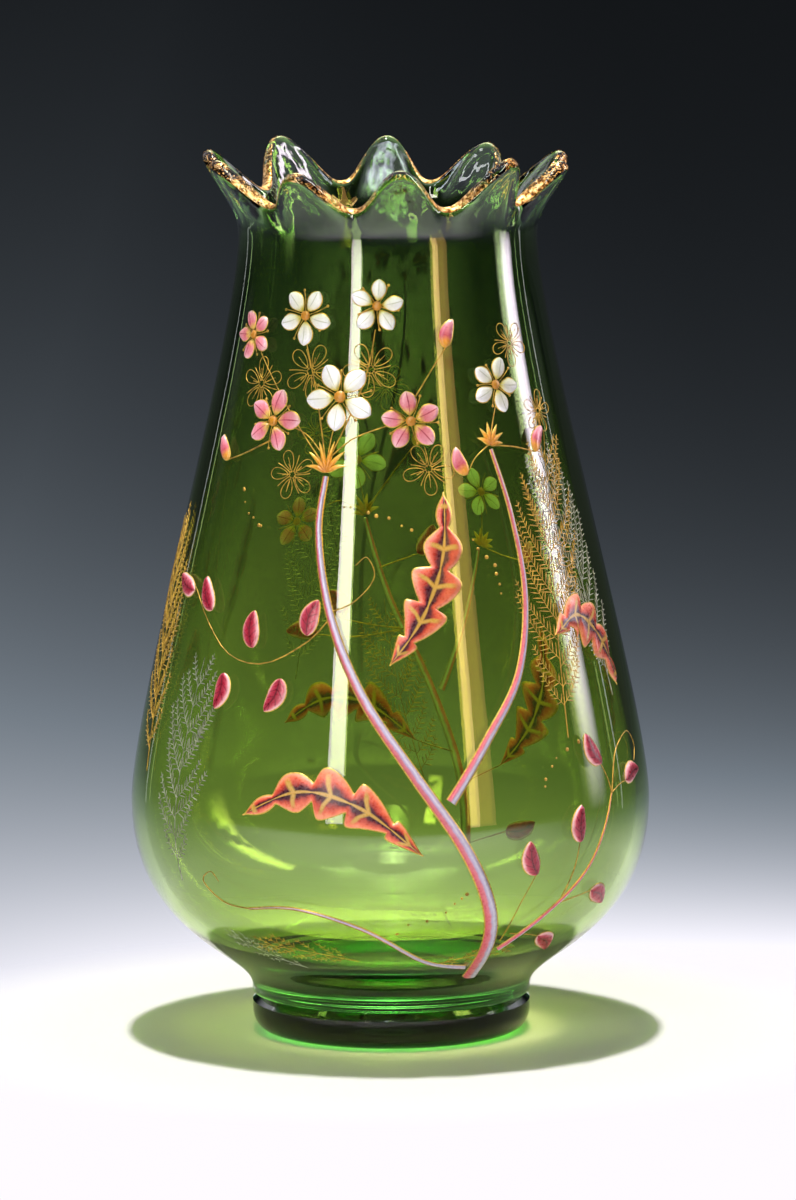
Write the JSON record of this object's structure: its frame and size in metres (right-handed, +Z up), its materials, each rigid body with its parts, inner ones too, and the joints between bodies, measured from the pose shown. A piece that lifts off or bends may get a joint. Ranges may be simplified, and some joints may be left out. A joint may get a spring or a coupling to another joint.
{
  "type": "enamelled glass vase",
  "caption": "Tall green glass vase with a round belly, a mouth pulled into a crown of points, a gilded lip, an applied foot and raised enamel flowers and leaves.",
  "frame": {"origin": "centre of the foot's underside, at the level of the surface that the vase stands on", "axes": "+Z up the vase's axis, the painted front towards -Y, +X to the right seen from the front"},
  "size_m": [0.1466, 0.1482, 0.2513],
  "materials": {
    "green_glass": "clear green glass, fire polished",
    "foot_glass": "thick clear green glass",
    "gilding": "burnished gold, worn",
    "stem_enamel": "glossy raised enamel",
    "white_enamel": "glossy raised enamel",
    "pink_enamel": "glossy raised enamel",
    "coral_enamel": "glossy raised enamel",
    "crimson_enamel": "glossy raised enamel"
  },
  "bodies": {
    "root": {"back_blossom_1": "white_enamel", "back_blossom_2": "pink_enamel", "back_blossom_3": "white_enamel", "back_bud_1": "pink_enamel", "back_bud_2": "pink_enamel", "back_leaf_1": "coral_enamel", "back_leaf_2": "coral_enamel", "back_leaflet_1": "crimson_enamel", "back_leaflet_2": "crimson_enamel", "back_leaflet_3": "crimson_enamel", "back_leaflet_4": "crimson_enamel", "back_stem": "stem_enamel", "back_twig": "stem_enamel", "blossom_1": "white_enamel", "blossom_2": "pink_enamel", "blossom_3": "pink_enamel", "blossom_4": "white_enamel", "blossom_5": "white_enamel", "blossom_6": "pink_enamel", "blossom_7": "white_enamel", "bud_1": "pink_enamel", "bud_2": "pink_enamel", "bud_3": "pink_enamel", "bud_4": "pink_enamel", "foot": "foot_glass", "glass_body": "green_glass", "leaflet_left_1": "crimson_enamel", "leaflet_left_2": "crimson_enamel", "leaflet_left_3": "crimson_enamel", "leaflet_left_4": "crimson_enamel", "leaflet_left_5": "crimson_enamel", "leaflet_left_6": "crimson_enamel", "leaflet_right_1": "crimson_enamel", "leaflet_right_2": "crimson_enamel", "leaflet_right_3": "crimson_enamel", "leaflet_right_4": "crimson_enamel", "leaflet_right_5": "crimson_enamel", "leaflet_right_6": "crimson_enamel", "left_twig": "stem_enamel", "lobed_leaf_1": "coral_enamel", "lobed_leaf_2": "coral_enamel", "lobed_leaf_3": "coral_enamel", "main_stem": "stem_enamel", "right_stem": "stem_enamel", "right_twig": "stem_enamel", "rim_gilding": "gilding"}
  },
  "joints": []
}
